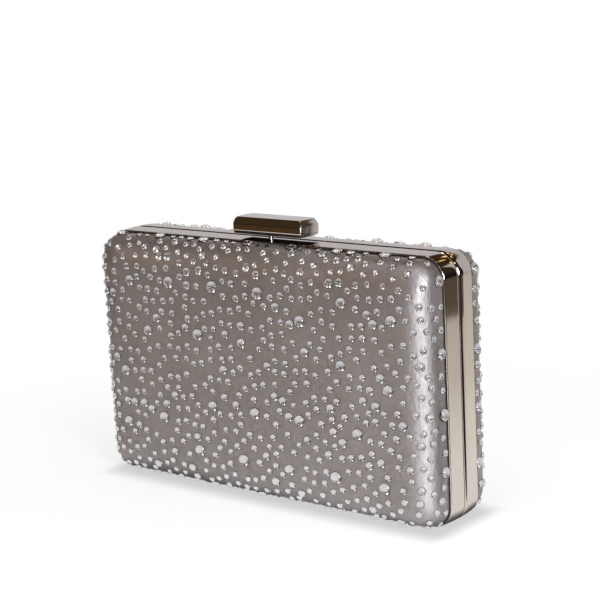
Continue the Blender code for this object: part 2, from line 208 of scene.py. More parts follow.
def loftRings(bm, rings, closed=False):
    # rings of equal length, joined one to the next with quads
    loops = [[bm.verts.new(point) for point in ring] for ring in rings]
    pairs = list(zip(loops, loops[1:]))
    if closed:
        pairs.append((loops[-1], loops[0]))
    for lower, upper in pairs:
        for index, vert in enumerate(lower):
            after = (index + 1) % len(lower)
            bm.faces.new((vert, lower[after], upper[after], upper[index]))
    return loops


def loftSolid(name, rings):
    # lofted rings with a face at each end
    bm = bmesh.new()
    loops = loftRings(bm, rings)
    bm.faces.new(loops[0])
    bm.faces.new(loops[-1])
    return meshFrom(name, bm)


def paint(piece, *materials):
    piece.data.materials.clear()
    for material in materials:
        piece.data.materials.append(material)


# the outline that both halves share, seen from the front

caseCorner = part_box("front_frame")[1]
caseShape = {
    "halfWidth": caseCorner.x,
    "height": caseCorner.z,
    "cornerRadius": 9.9 * mm,
}


def caseOutline(inset, radius, cornerSteps, acrossSteps=1, upSteps=1):
    middle = caseShape["height"] / 2
    x = caseShape["halfWidth"] - inset - radius
    z = middle - inset - radius
    corners = ((x, z), (-x, z), (-x, -z), (x, -z))
    arcs = [
        arcPoints(corner, radius, 90 * number, cornerSteps)
        for number, corner in enumerate(corners)
    ]
    points = []
    for number, arc in enumerate(arcs):
        begin, end = arc[-1], arcs[(number + 1) % 4][0]
        runSteps = acrossSteps if number % 2 == 0 else upSteps
        points += arc
        for step in range(1, runSteps):
            share = step / runSteps
            points.append(tuple(near + (far - near) * share for near, far in zip(begin, end)))
    return [(pointX, middle + pointZ) for pointX, pointZ in points]


# nodes, and node groups shared by the materials

def setInputs(tree, node, inputs):
    # a socket is linked, and any other value is set on the input itself
    for label, value in inputs.items():
        socket = node.inputs[label]
        if isinstance(value, bpy.types.NodeSocket):
            tree.links.new(value, socket)
        elif socket.type == "RGBA":
            socket.default_value = (*value, 1.0)
        else:
            socket.default_value = value
    return node


def addNode(tree, kind, inputs, **settings):
    node = tree.nodes.new(kind)
    for name, value in settings.items():
        setattr(node, name, value)
    return setInputs(tree, node, inputs)


def mathNode(tree, operation, first, second=0.0, clamp=False):
    settings = {"operation": operation, "use_clamp": clamp}
    return addNode(tree, "ShaderNodeMath", {0: first, 1: second}, **settings).outputs[0]


def sums(tree):
    # the four sums that the trees need, bound to one of them
    return [
        partial(mathNode, tree, operation)
        for operation in ("ADD", "SUBTRACT", "MULTIPLY", "MAXIMUM")
    ]


def axesOf(tree, vector):
    return addNode(tree, "ShaderNodeSeparateXYZ", {0: vector}).outputs


def vectorSum(tree, operation, first, second=(0.0, 0.0, 0.0)):
    # a number made of two vectors
    inputs = {0: first, 1: second}
    return addNode(tree, "ShaderNodeVectorMath", inputs, operation=operation).outputs["Value"]


def mapRange(tree, value, low, high, outLow=0.0, outHigh=1.0, smooth=True):
    inputs = {"From Min": low, "From Max": high, "To Min": outLow, "To Max": outHigh}
    kind = "SMOOTHSTEP" if smooth else "LINEAR"
    node = addNode(tree, "ShaderNodeMapRange", {"Value": value, **inputs}, interpolation_type=kind)
    return node.outputs["Result"]


def mixColour(tree, factor, first, second, blend="MIX"):
    inputs = {"Factor": factor, "A": first, "B": second}
    node = addNode(tree, "ShaderNodeMix", inputs, data_type="RGBA", blend_type=blend)
    return node.outputs["Result"]


def noiseNode(tree, position, scale, detail=3.0, roughness=0.5):
    inputs = {"Vector": position, "Scale": scale, "Detail": detail, "Roughness": roughness}
    return addNode(tree, "ShaderNodeTexNoise", inputs).outputs["Fac"]


def stretched(tree, position, factors):
    inputs = {"Vector": position, "Scale": factors}
    return addNode(tree, "ShaderNodeMapping", inputs, vector_type="POINT").outputs["Vector"]


def raised(tree, height, distance):
    inputs = {"Strength": 1.0, "Distance": distance, "Height": height}
    return addNode(tree, "ShaderNodeBump", inputs).outputs["Normal"]


def newGroup(name, inputs, outputs):
    # a group takes a position and numbers, each with its usual value, and gives numbers
    group = bpy.data.node_groups.new(name, "ShaderNodeTree")
    newSocket = group.interface.new_socket
    newSocket("Position", in_out="INPUT", socket_type="NodeSocketVector")
    for label, value in inputs.items():
        newSocket(label, in_out="INPUT", socket_type="NodeSocketFloat").default_value = value
    for label in outputs:
        newSocket(label, in_out="OUTPUT", socket_type="NodeSocketFloat")
    return group, group.nodes.new("NodeGroupInput").outputs, group.nodes.new("NodeGroupOutput")


def makeWeaveGroup():
    # satin: long floats one way, fine threads across, and a slow change of tone
    group, start, end = newGroup(
        "satinWeave",
        {"Thread Scale": 2600.0, "Cloud Scale": 38.0, "Crinkle Scale": 700.0},
        ("Threads", "Clouds", "Grain", "Height"),
    )
    position, scale = start["Position"], start["Thread Scale"]
    plus, _, times, _ = sums(group)
    across = noiseNode(group, stretched(group, position, (1.0, 1.0, 0.16)), scale, 1.0)
    along = noiseNode(group, stretched(group, position, (0.3, 0.3, 1.0)), scale, 1.0)
    threads = plus(times(across, 0.62), times(along, 0.38))
    clouds = noiseNode(group, position, start["Cloud Scale"], 3.0, 0.55)
    crinkles = noiseNode(group, position, start["Crinkle Scale"], 1.0)
    setInputs(group, end, {
        "Threads": mapRange(group, threads, 0.3, 0.7),
        "Clouds": mapRange(group, clouds, 0.3, 0.7),
        "Grain": mapRange(group, crinkles, 0.38, 0.62),
        "Height": plus(threads, times(crinkles, 3.2)),
    })
    return group


def makeWearGroup():
    # plated metal: fine wiping marks and a few soft smudges
    group, start, end = newGroup(
        "metalWear", {"Mark Scale": 900.0, "Smudge Scale": 60.0}, ("Marks", "Smudges"),
    )
    position = start["Position"]
    wiped = stretched(group, position, (0.12, 1.0, 1.0))
    marks = noiseNode(group, wiped, start["Mark Scale"], 2.0)
    smudges = noiseNode(group, position, start["Smudge Scale"], 4.0, 0.6)
    setInputs(group, end, {
        "Marks": mapRange(group, marks, 0.35, 0.75),
        "Smudges": mapRange(group, smudges, 0.45, 0.75),
    })
    return group


weaveGroup = makeWeaveGroup()
wearGroup = makeWearGroup()


def newMaterial(name):
    material = bpy.data.materials.new(name)
    material.use_nodes = True
    tree = material.node_tree
    shader = tree.nodes["Principled BSDF"]
    position = tree.nodes.new("ShaderNodeTexCoord").outputs["Object"]
    return material, tree, shader, position


def metalMaterial(name, colour, dull, roughness, markDepth, markScale=900.0):
    # roughness runs from the first value on clean metal to the second in the smudges
    material, tree, shader, position = newMaterial(name)
    inputs = {"Position": position, "Mark Scale": markScale}
    wear = addNode(tree, "ShaderNodeGroup", inputs, node_tree=wearGroup).outputs
    setInputs(tree, shader, {
        "Base Color": mixColour(tree, wear["Smudges"], colour, dull),
        "Roughness": mapRange(tree, wear["Smudges"], 0.0, 1.0, *roughness),
        "Metallic": 1.0,
        "Normal": raised(tree, wear["Marks"], markDepth),
    })
    return material


def satinMaterial(name, finish):
    material, tree, shader, position = newMaterial(name)
    inputs = {"Position": position, **finish["scales"]}
    weave = addNode(tree, "ShaderNodeGroup", inputs, node_tree=weaveGroup).outputs
    threads, contrast = weave["Threads"], finish["threadContrast"]
    inputs = {
        "Vector": mixColour(tree, weave["Clouds"], *finish["tones"]),
        "Scale": mapRange(tree, threads, 0.0, 1.0, 1.0 - contrast, 1.0 + contrast),
    }
    toned = addNode(tree, "ShaderNodeVectorMath", inputs, operation="SCALE")
    tangent = addNode(tree, "ShaderNodeTangent", {}, direction_type="RADIAL", axis="Z")
    setInputs(tree, shader, {
        "Base Color": toned.outputs["Vector"],
        "Roughness": mapRange(tree, threads, 0.0, 1.0, *finish["roughness"]),
        "Coat Weight": mapRange(tree, weave["Grain"], 0.0, 1.0, 0.0, finish["coatWeight"]),
        "Tangent": tangent.outputs["Tangent"],
        "Normal": raised(tree, weave["Height"], finish["bump"]),
        **satinSurface,
        **finish["surface"],
    })
    return material


def grainMaterial(name, scale, tones, surface, bump=None, detail=2.0):
    # two tones mixed by a noise, which may raise the surface too
    material, tree, shader, position = newMaterial(name)
    grain = noiseNode(tree, position, scale, detail)
    inputs = {"Base Color": mixColour(tree, grain, *tones), **surface}
    if isinstance(surface["Roughness"], tuple):
        inputs["Roughness"] = mapRange(tree, grain, 0.0, 1.0, *surface["Roughness"])
    if bump is not None:
        inputs["Normal"] = raised(tree, grain, bump)
    setInputs(tree, shader, inputs)
    return material


# clean and smudged colour, roughness on each, depth of the marks and their scale
metals = {
    "polishedNickel": ((0.695, 0.645, 0.585), (0.665, 0.615, 0.555), (0.05, 0.075), 0.002 * mm),
    # painted light: a lighter copy of the frames' nickel, for the clasp bar's brighter reflections
    "brightNickel": ((0.81, 0.775, 0.73), (0.76, 0.72, 0.67), (0.05, 0.075), 0.002 * mm),
    "softNickel": ((0.70, 0.66, 0.62), (0.66, 0.62, 0.58), (0.24, 0.30), 0.001 * mm),
    # painted shade: the latch slider's metal is dark, for its stem in the shade of the bar
    "latchMetal": ((0.24, 0.225, 0.20), (0.18, 0.17, 0.15), (0.25, 0.4), 0.02 * mm),
    "hingeNickel": ((0.62, 0.59, 0.54), (0.45, 0.42, 0.38), (0.18, 0.34), 0.02 * mm),
    "springSteel": ((0.52, 0.52, 0.52), (0.36, 0.35, 0.34), (0.22, 0.40), 0.02 * mm),
    "castZinc": ((0.50, 0.49, 0.47), (0.38, 0.37, 0.35), (0.38, 0.55), 0.05 * mm, 400.0),
    # painted shade: dark metal for the frames' parting gaps and the clasp bar's low sides
    "tarnishedSeam": (
        (0.060, 0.055, 0.053), (0.040, 0.037, 0.035), (0.32, 0.5), 0.02 * mm, 500.0,
    ),
}
metals = {name: metalMaterial(name, *values) for name, values in metals.items()}


# metal frames: a band round the outside and a flange along the parting plane

frameShape = {
    "face": 0.15 * mm,
    "bandDepth": 9.6 * mm,
    "bandWall": 1.0 * mm,
    "flangeBack": 2.55 * mm,
    "partingBevel": {"front": 1.2 * mm, "rear": 1.6 * mm},
    "rimBevel": 0.4 * mm,
    "innerBevel": 0.12 * mm,
    "innerSteps": 2,
    "cornerSteps": 20,
    "bevelSteps": 5,
    "bandSteps": 4,
    "crown": 0.06 * mm,
    "rimWidth": {"front": 7.4 * mm, "rear": 6.0 * mm},
    "draft": {"front": 0.35 * mm, "rear": 0.4 * mm},
    "slotDepth": 1.8 * mm,
    "slotHeight": 3.4 * mm,
    "slotReach": 85.5 * mm,
    "lipInset": 6.4 * mm,
    "lipWall": 0.8 * mm,
    "lipReach": 1.5 * mm,
    "lipFoot": 25.0 * mm,
    "lipStart": -0.6 * mm,
    "stemHoleRadius": 1.25 * mm,
    "stemHoleLength": 3.0 * mm,
    "hookWindow": ((-3.5 * mm, -3.2 * mm, 104.2 * mm), (3.5 * mm, 1.0 * mm, 107.3 * mm)),
    "plateSeat": ((-9.3 * mm, -1.0 * mm, 102.0 * mm), (9.3 * mm, 1.65 * mm)),
    "plateGap": 0.3 * mm,
    "screwSeat": {"radius": 1.5 * mm, "length": 2.0 * mm, "depth": -0.5 * mm},
    "seamStart": 0.01 * mm,
    "seamShare": 0.3,
    "seamSlope": (0.64, 0.999),
}


def frameProfile(word):
    # inset from the outline against depth from the parting plane, once round the section
    face, deep = frameShape["face"], frameShape["bandDepth"]
    parting, rim = frameShape["partingBevel"][word], frameShape["rimBevel"]
    inner, wall = frameShape["innerBevel"], frameShape["bandWall"]
    draft = frameShape["draft"][word]
    steps, runSteps = frameShape["bevelSteps"], frameShape["bandSteps"]
    crown = frameShape["crown"]
    low, high = face + parting, deep - rim
    points = arcPoints((crown + parting, low), parting, 180, steps)[::-1]
    # the band is drawn in towards its rim and very slightly domed
    for step in range(1, runSteps):
        share = step / runSteps
        dome = crown * 4 * share * (1 - share)
        points.append((crown + draft * share - dome, low + (high - low) * share))
    points += arcPoints((draft + crown + rim, high), rim, 90, steps)[::-1]
    points += arcPoints((wall - inner, deep - inner), inner, 0, frameShape["innerSteps"])[::-1]
    flange, reach = frameShape["flangeBack"], frameShape["rimWidth"][word]
    return points + [(wall, flange), (reach, flange), (reach, face)]


def alignmentLip():
    # a thin ring on the front frame that reaches into the rear one, open towards the hinge
    inset, foot = frameShape["lipInset"], frameShape["lipFoot"]
    rows = []
    for offset in (inset, inset + frameShape["lipWall"]):
        ring = caseOutline(offset, caseShape["cornerRadius"] - offset, frameShape["cornerSteps"])
        upper = [point for point in ring if point[1] > foot]
        upper.sort(key=lambda point: math.atan2(point[1] - foot, point[0]))
        rows.append([(upper[0][0], foot)] + upper + [(upper[-1][0], foot)])
    low, high = frameShape["lipStart"], frameShape["lipReach"]
    sections = []
    for outer, inner in zip(*rows):
        corners = ((outer, low), (outer, high), (inner, high), (inner, low))
        sections.append([(x, y, z) for (x, z), y in corners])
    return loftSolid("lip", sections)


def middleOf(nodeName):
    low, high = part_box(nodeName)
    return (low + high) / 2


def frameCutters(word):
    # the hinge's slot, and in each frame the places for its parts of the clasp
    reach, depth = frameShape["slotReach"], frameShape["slotDepth"]
    cutters = [boxCutter((-reach, -depth, -mm), (reach, depth, frameShape["slotHeight"]))]
    if word == "rear":
        low, (right, back) = frameShape["plateSeat"]
        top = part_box("catch_hook")[1].z + frameShape["plateGap"]
        return cutters + [boxCutter(low, (right, back, top))]
    stem = (0, middleOf("latch_slider").y, caseShape["height"])
    holeRadius, holeLength = frameShape["stemHoleRadius"], frameShape["stemHoleLength"]
    cutters.append(roundCutter(holeRadius, holeLength, stem, (0, 0, 1)))
    cutters.append(boxCutter(*frameShape["hookWindow"]))
    seat = frameShape["screwSeat"]
    for screw in ("housing_screw_left", "housing_screw_right"):
        centre = middleOf(screw)
        centre.y = seat["depth"]
        cutters.append(roundCutter(seat["radius"], seat["length"], centre, (0, 1, 0)))
    return cutters


def makeFrame(word, side):
    bm = bmesh.new()
    rings = []
    for inset, depth in frameProfile(word):
        radius = caseShape["cornerRadius"] - inset
        outline = caseOutline(inset, radius, frameShape["cornerSteps"])
        rings.append([(x, side * depth, z) for x, z in outline])
    loftRings(bm, rings, closed=True)
    piece = meshFrom(word + "_frame_polished", bm)
    cutAway(piece, frameCutters(word))
    if word == "front":
        lip = alignmentLip()
        bm = bmesh.new()
        bm.from_mesh(piece.data)
        bm.from_mesh(lip.data)
        bm.to_mesh(piece.data)
        bm.free()
        discard(lip)
    smoothShading(piece, sharpAngle=32)
    paint(piece, metals["polishedNickel"], metals["tarnishedSeam"])
    # painted shade: the inner part of each parting edge, down in the gap, takes the dark metal
    face, bevel = frameShape["face"], frameShape["partingBevel"][word]
    low, high = face + frameShape["seamStart"], face + frameShape["seamShare"] * bevel
    flat, steep = frameShape["seamSlope"]
    for polygon in piece.data.polygons:
        if low < abs(polygon.center.y) < high and flat < abs(polygon.normal.y) < steep:
            polygon.material_index = 1
    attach(piece, word + "_half")
    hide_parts(word + "_frame")


makeFrame("front", -1)
makeFrame("rear", 1)
print("frames made")


# padded skins of each half, from the outside in

skinShape = {
    "coverInset": 1.5 * mm,
    "skirtStart": 2.85 * mm,
    "flatStart": 11.6 * mm,
    "edgeRound": 12.0 * mm,
    "crownRise": 1.2 * mm,
    "hemDepth": 9.2 * mm,
    "cornerSteps": 12,
    "edgeSteps": 12,
    "faceSteps": 11,
    "acrossSteps": 56,
    "upSteps": 30,
    "housingGap": 0.3 * mm,
    "skirtShares": (0.0, 0.3, 0.6, 0.806),
    "middleShares": (0.35, 0.7, 0.96),
    "seed": {-1: 3.0, 1: 11.0},
    "waves": (28.0, 70.0),
    # depth below the cover's outside, thickness and unevenness
    "layers": {
        "cover": (0.0, 0.5 * mm, 0.12 * mm),
        "padding": (0.8 * mm, 1.0 * mm, 0.12 * mm),
        "lining": (3.8 * mm, 0.5 * mm, 0.05 * mm),
    },
}
satinSurface = {"Sheen Weight": 0.1, "Sheen Roughness": 0.35, "Anisotropic Rotation": 0.25}
coverFinish = {
    "scales": {"Thread Scale": 2300.0, "Cloud Scale": 30.0},
    "tones": ((0.040, 0.027, 0.025), (0.064, 0.050, 0.049)),
    "threadContrast": 0.14,
    "roughness": (0.52, 0.66),
    "coatWeight": 0.672,
    "bump": 0.05 * mm,
    "surface": {
        "Specular IOR Level": 0.9,
        "Specular Tint": (1.0, 0.945, 0.935),
        "IOR": 2.36,
        "Anisotropic": 0.55,
        "Coat Roughness": 0.24,
        "Coat IOR": 1.8,
    },
}
liningFinish = {
    "scales": {"Thread Scale": 1800.0, "Cloud Scale": 25.0},
    "tones": ((0.135, 0.128, 0.128), (0.19, 0.182, 0.182)),
    "threadContrast": 0.08,
    "roughness": (0.38, 0.52),
    "coatWeight": 0.16,
    "bump": 0.04 * mm,
    "surface": {
        "Specular IOR Level": 0.5,
        "Specular Tint": (1.0, 0.98, 0.97),
        "IOR": 1.5,
        "Anisotropic": 0.5,
        "Coat Roughness": 0.4,
        "Coat IOR": 1.5,
    },
}


def skinRings(side, layer, crown=skinShape["crownRise"]):
    # a straight skirt inside the band, a rounded edge, and a face that rises to the middle
    inset = skinShape["coverInset"] + layer
    radius = caseShape["cornerRadius"] - inset
    size = skinShape["edgeRound"] - layer
    start, flat = skinShape["skirtStart"], skinShape["flatStart"]
    faceDepth = flat + skinShape["edgeRound"] - layer
    middleWay = caseShape["height"] / 2 - inset - size - radius
    places = [(inset, radius, start + (flat - start) * share) for share in skinShape["skirtShares"]]
    for step in range(skinShape["edgeSteps"] + 1):
        angle = math.pi / 2 * step / skinShape["edgeSteps"]
        drawnIn = inset + size * (1 - math.cos(angle))
        places.append((drawnIn, radius, flat + size * math.sin(angle)))
    for step in range(1, skinShape["faceSteps"] + 1):
        share = step / skinShape["faceSteps"]
        rise = crown * (1 - (1 - share) ** 2)
        places.append((inset + size + middleWay * share, radius, faceDepth + rise))
    for share in skinShape["middleShares"]:
        drawnIn = inset + size + middleWay + radius * share
        places.append((drawnIn, radius * (1 - share), faceDepth + crown))
    steps = (skinShape["cornerSteps"], skinShape["acrossSteps"], skinShape["upSteps"])
    return [
        [Vector((x, side * depth, z)) for x, z in caseOutline(drawnIn, bend, *steps)]
        for drawnIn, bend, depth in places
    ]


def closeMiddle(bm, loop):
    # the last ring is a long slit: quads join its two sides, and a face closes each end
    corner, across, up = skinShape["cornerSteps"], skinShape["acrossSteps"], skinShape["upSteps"]
    topEnd = corner + across
    bottomStart = topEnd + up + 2 * corner
    bottomEnd = bottomStart + across
    for step in range(across):
        top, bottom = corner + step, bottomEnd - step
        bm.faces.new((loop[top], loop[top + 1], loop[bottom - 1], loop[bottom]))
    bm.faces.new(loop[topEnd:bottomStart + 1])
    bm.faces.new(loop[bottomEnd:] + loop[:corner + 1])


# the padded satin swells as cloth: one half is simulated, and both halves take its moves

clothShape = {
    "voxel": 4.0 * mm,
    "pressure": 4.0,
    "frames": 20,
    "startInset": 0.5 * mm,
    "smoothing": 2,
    "quality": 6,
}


def simulateSwell():
    # a closed body a little smaller than the cover, held where the band holds the satin
    body = loftSolid("paddedBody", skinRings(-1, clothShape["startInset"], 0.0))
    even = body.modifiers.new("even", "REMESH")
    even.mode = "VOXEL"
    even.voxel_size = clothShape["voxel"]
    applyModifiers(body)
    start = [vert.co.copy() for vert in body.data.vertices]
    faces = [list(polygon.vertices) for polygon in body.data.polygons]
    held = [index for index, point in enumerate(start) if abs(point.y) < skinShape["flatStart"]]
    body.vertex_groups.new(name="held").add(held, 1.0, "REPLACE")
    cloth = body.modifiers.new("cloth", "CLOTH")
    cloth.settings.quality = clothShape["quality"]
    cloth.settings.use_pressure = True
    cloth.settings.uniform_pressure_force = clothShape["pressure"]
    cloth.settings.vertex_group_mass = "held"
    cloth.settings.effector_weights.gravity = 0.0
    for number in range(1, clothShape["frames"] + 1):
        bpy.context.scene.frame_set(number)
    links = [list(edge.vertices) for edge in body.data.edges]
    applyModifiers(body)
    bpy.context.scene.frame_set(1)
    moves = [vert.co - point for vert, point in zip(body.data.vertices, start)]
    bpy.data.objects.remove(body)
    for _ in range(clothShape["smoothing"]):
        totals = [Vector() for _ in moves]
        counts = [0] * len(moves)
        for first, second in links:
            totals[first] += moves[second]
            totals[second] += moves[first]
            counts[first] += 1
            counts[second] += 1
        moves = [
            (move + total / max(1, count)) / 2
            for move, total, count in zip(moves, totals, counts)
        ]
    largest = max(move.length for move in moves)
    share = min(1.0, skinShape["crownRise"] / largest)
    kept = round(largest * share / mm, 2)
    print("padding swelled by", round(largest / mm, 2), "mm, taken down to", kept, "mm")
    return BVHTree.FromPolygons(start, faces), start, faces, [move * share for move in moves]


def swellAt(point, side):
    # the move at a point of the cover, read from the simulated half
    near, startPoints, faces, moves = swell
    place = Vector((point.x, -abs(point.y), point.z))
    where, _, index, _ = near.find_nearest(place)
    corners = faces[index]
    weights = interpolate.poly_3d_calc([startPoints[corner] for corner in corners], where)
    parts = (moves[corner] * weight for corner, weight in zip(corners, weights))
    move = sum(parts, Vector())
    return Vector((move.x, -side * move.y, move.z))


def softened(ring, side, amount):
    # the padding under the satin is never quite even
    seed = skinShape["seed"][side]
    broad, narrow = skinShape["waves"]
    moved = []
    for point in ring:
        wave = noise.noise(point * broad + Vector((seed, 0, 0)))
        wave += 0.5 * noise.noise(point * narrow + Vector((0, seed, 0)))
        depth = abs(point.y) - skinShape["flatStart"]
        weight = min(1.0, max(0.0, depth / skinShape["edgeRound"]))
        moved.append(point + Vector((0, side, 0)) * (wave * amount * weight))
    return moved


def plainRings(side, layer, amount):
    return [softened(ring, side, amount) for ring in skinRings(side, layer)]


def paddedRings(side, layer, amount):
    # rings of one layer of the padding, swelled as the cover over it is
    if swell is None:
        return plainRings(side, layer, amount)
    rings = []
    for ring, guide in zip(skinRings(side, layer, 0.0), skinRings(side, 0.0, 0.0)):
        even = softened(ring, side, amount)
        rings.append([point + swellAt(over, side) for point, over in zip(even, guide)])
    return rings


swell = simulateSwell()


def makeSkin(word, side, name, suffix, material):
    # the padding's inside and both faces of the lining follow the plain shell
    layer, thickness, unevenness = skinShape["layers"][name]
    outerRings = plainRings if name == "lining" else paddedRings
    innerRings = paddedRings if name == "cover" else plainRings
    outer = outerRings(side, layer, unevenness)
    inner = innerRings(side, layer + thickness, unevenness)
    bm = bmesh.new()
    loops = loftRings(bm, outer[::-1] + inner)
    closeMiddle(bm, loops[0])
    closeMiddle(bm, loops[-1])
    piece = meshFrom(word + "_" + name + "_" + suffix, bm)
    if word == "front":
        low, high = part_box("clasp_housing")
        gap = skinShape["housingGap"]
        upper = (high.x + gap, -frameShape["flangeBack"], caseShape["height"])
        cutAway(piece, [boxCutter(low - Vector((gap, gap, gap)), upper)])
    smoothShading(piece, sharpAngle=50, weighted=False)
    paint(piece, material)
    if name == "cover":
        # painted shade: the hem behind the band's rim takes a near-black material
        piece.data.materials.append(hemGlue)
        for polygon in piece.data.polygons:
            if abs(polygon.center.y) < skinShape["hemDepth"]:
                polygon.material_index = 1
    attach(piece, word + "_half")
    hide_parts(word + "_" + name)


coverSatin = satinMaterial("silverSatin", coverFinish)
liningSatin = satinMaterial("liningSatin", liningFinish)
# painted shade along the hem behind the band's rim
hemGlue = grainMaterial(
    "hemGlue", 700.0, ((0.012, 0.012, 0.015), (0.032, 0.031, 0.038)), {"Roughness": 0.5},
)
paddingFoam = grainMaterial(
    "paddingFoam", 1400.0, ((0.70, 0.68, 0.62), (0.86, 0.84, 0.78)), {"Roughness": 0.9},
    bump=0.15 * mm,
)
shellPlastic = grainMaterial(
    "shellPlastic", 900.0, ((0.035, 0.035, 0.038), (0.055, 0.055, 0.058)),
    {"Roughness": (0.42, 0.6)}, bump=0.03 * mm,
)
for word, side in (("front", -1), ("rear", 1)):
    makeSkin(word, side, "cover", "satin", coverSatin)
    makeSkin(word, side, "padding", "foam", paddingFoam)
    makeSkin(word, side, "lining", "satin", liningSatin)
    paint(frame["nodes"][word + "_shell"], shellPlastic)
print("covers, padding and linings made")


# crystals: three sizes of domed stone with a foiled back, scattered by geometry nodes

crystalShape = {
    "inputs": {
        "Small Size": 3.0 * mm,
        "Medium Size": 3.9 * mm,
        "Large Size": 5.1 * mm,
        "Spacing": 4.4 * mm,
        "Large Spacing": 23.0 * mm,
        "Clearance": 0.7 * mm,
        "Medium Share": 0.14,
        "Floor": 3.0 * mm,
    },
    "fineDensity": 200000.0,
    "largeDensity": 900000.0,
    "radiusShare": (0.44, 0.54),
    "firstRing": 4,
    "sides": 12,
    "profile": (
        (0.95, 0.03), (0.98, -0.10), (1.0, 0.05), (0.95, 0.22), (0.80, 0.41), (0.50, 0.57),
    ),
    "domeTop": 0.64,
    "seed": {"front": 7, "rear": 23},
}
crystalGlass = grainMaterial(
    "clearCrystal", 160.0, ((0.97, 0.98, 1.0), (1.0, 0.99, 0.975)),
    {"Transmission Weight": 1.0, "IOR": 1.54, "Roughness": 0.0}, detail=0.0,
)
crystalFoil = grainMaterial(
    "silverFoil", 210.0, ((0.88, 0.885, 0.90), (0.93, 0.92, 0.90)),
    {"Metallic": 1.0, "Roughness": 0.14}, detail=0.0,
)


def makeStone():
    # unit stone of radius one, flat back first, with the back's faces marked
    bm = bmesh.new()
    mark = bm.faces.layers.int.new("foilBack")
    sides = crystalShape["sides"]
    rings = []
    for level, (radius, height) in enumerate(crystalShape["profile"]):
        turn = 0.5 * (level % 2)
        angles = [2 * math.pi * (step + turn) / sides for step in range(sides)]
        rings.append(
            [(radius * math.cos(angle), radius * math.sin(angle), height) for angle in angles]
        )
    loops = loftRings(bm, rings)
    back = bm.faces.new(loops[0][::-1])
    top = bm.verts.new((0, 0, crystalShape["domeTop"]))
    for index, vert in enumerate(loops[-1]):
        bm.faces.new((vert, loops[-1][(index + 1) % sides], top))
    back[mark] = 1
    for face in bm.faces:
        face.smooth = True
    for edge in back.edges:
        edge.smooth = False
    return meshFrom("stonePattern", bm)


def makeCrystalTree(stone):
    tree = bpy.data.node_groups.new("crystalScatter", "GeometryNodeTree")
    sockets = [("Geometry", "INPUT", "NodeSocketGeometry")]
    sockets += [(label, "INPUT", "NodeSocketFloat") for label in crystalShape["inputs"]]
    sockets += [("Seed", "INPUT", "NodeSocketInt"), ("Geometry", "OUTPUT", "NodeSocketGeometry")]
    for label, way, kind in sockets:
        tree.interface.new_socket(label, in_out=way, socket_type=kind)
    start = tree.nodes.new("NodeGroupInput").outputs
    node = partial(addNode, tree)
    plus, minus, times, _ = sums(tree)
    smallSize, mediumSize, largeSize = (start[label] for label in list(crystalShape["inputs"])[:3])

    def seeded(shift):
        return plus(start["Seed"], shift)

    def compare(operation, first, second):
        inputs = {"A": first, "B": second}
        return node("FunctionNodeCompare", inputs, operation=operation).outputs["Result"]

    def randomNumber(low, high, shift):
        inputs = {2: low, 3: high, "Seed": seeded(shift)}
        return node("FunctionNodeRandomValue", inputs, data_type="FLOAT").outputs[1]

    def scatter(spacing, density, shift, selection=True):
        return node("GeometryNodeDistributePointsOnFaces", {
            "Mesh": start["Geometry"],
            "Selection": selection,
            "Distance Min": start[spacing],
            "Density Max": crystalShape[density],
            "Seed": seeded(shift),
        }, distribute_method="POISSON").outputs

    def stonesOn(points, rotation, diameter, shift):
        angle = randomNumber(0.0, math.tau, shift)
        turn = node("FunctionNodeAxisAngleToRotation", {"Axis": (0, 0, 1), "Angle": angle})
        turned = node("FunctionNodeRotateRotation", {
            "Rotation": rotation,
            "Rotate By": turn.outputs["Rotation"],
        }, rotation_space="LOCAL")
        return node("GeometryNodeInstanceOnPoints", {
            "Points": points,
            "Instance": pattern.outputs["Geometry"],
            "Rotation": turned.outputs["Rotation"],
            "Scale": times(diameter, randomNumber(*crystalShape["radiusShare"], shift + 1)),
        }).outputs["Instances"]

    pattern = node("GeometryNodeObjectInfo", {"Object": stone, "As Instance": True})
    height = axesOf(tree, node("GeometryNodeInputPosition", {}).outputs[0])["Z"]
    aboveFloor = compare("GREATER_THAN", height, start["Floor"])
    large = scatter("Large Spacing", "largeDensity", 0, aboveFloor)
    fine = scatter("Spacing", "fineDensity", 1)

    # no fine stone touches a large one
    near = node("GeometryNodeProximity", {0: large["Points"]}, target_element="POINTS")
    distance = near.outputs["Distance"]
    reach = plus(times(plus(smallSize, largeSize), 0.5), start["Clearance"])
    tooNear = compare("LESS_THAN", distance, reach)
    inputs = {"Geometry": fine["Points"], "Selection": tooNear}
    left = node("GeometryNodeDeleteGeometry", inputs, domain="POINT").outputs["Geometry"]

    # one fine point in several is a medium stone, where there is room for it
    mediumReach = plus(reach, times(minus(mediumSize, smallSize), 0.5))
    inputs = {"Probability": start["Medium Share"], "Seed": seeded(2)}
    chance = node("FunctionNodeRandomValue", inputs, data_type="BOOLEAN").outputs[3]
    inputs = {0: chance, 1: compare("GREATER_THAN", distance, mediumReach)}
    medium = node("FunctionNodeBooleanMath", inputs, operation="AND").outputs[0]
    inputs = {"Switch": medium, "False": smallSize, "True": mediumSize}
    size = node("GeometryNodeSwitch", inputs, input_type="FLOAT").outputs["Output"]

    everything = tree.nodes.new("GeometryNodeJoinGeometry")
    largeStones = stonesOn(large["Points"], large["Rotation"], largeSize, 5)
    for stones in (largeStones, stonesOn(left, fine["Rotation"], size, 9)):
        tree.links.new(stones, everything.inputs[0])
    real = node("GeometryNodeRealizeInstances", {0: everything.outputs[0]}).outputs[0]
    inputs = {"Geometry": real, "Material": crystalGlass}
    glass = node("GeometryNodeSetMaterial", inputs).outputs[0]
    backs = node("GeometryNodeInputNamedAttribute", {"Name": "foilBack"}, data_type="INT")
    foiled = node("GeometryNodeSetMaterial", {
        "Geometry": glass,
        "Selection": backs.outputs["Attribute"],
        "Material": crystalFoil,
    })
    setInputs(tree, tree.nodes.new("NodeGroupOutput"), {0: foiled.outputs[0]})
    return tree


